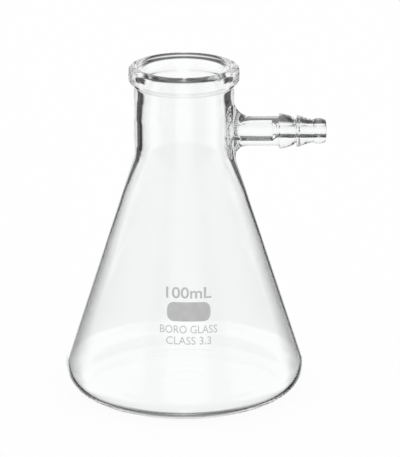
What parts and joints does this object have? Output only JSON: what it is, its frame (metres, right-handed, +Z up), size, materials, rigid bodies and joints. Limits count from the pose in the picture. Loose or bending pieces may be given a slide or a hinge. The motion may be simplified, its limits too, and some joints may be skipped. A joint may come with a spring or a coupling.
{
  "type": "buchner flask",
  "caption": "Conical glass filter flask with a thick-walled neck, a side tube and a serrated hose nozzle, for suction filtration.",
  "frame": {"origin": "centre of the base, on the plane that the flask stands on", "axes": "+Z up along the body's axis to the mouth, +X along the side tube, -Y towards the printed front"},
  "size_m": [0.0761, 0.07, 0.098],
  "materials": {
    "body_glass": "clear fire-polished borosilicate glass",
    "tube_glass": "clear drawn borosilicate tube, flame sealed",
    "nozzle_glass": "clear pressed borosilicate glass",
    "enamel": "fired pale grey enamel, matte"
  },
  "bodies": {
    "root": {"flask_body": "body_glass", "side_tube": "tube_glass", "hose_nozzle": "nozzle_glass", "marking_spot": "enamel", "capacity_mark": "enamel", "glass_type_mark": "enamel"}
  },
  "joints": []
}
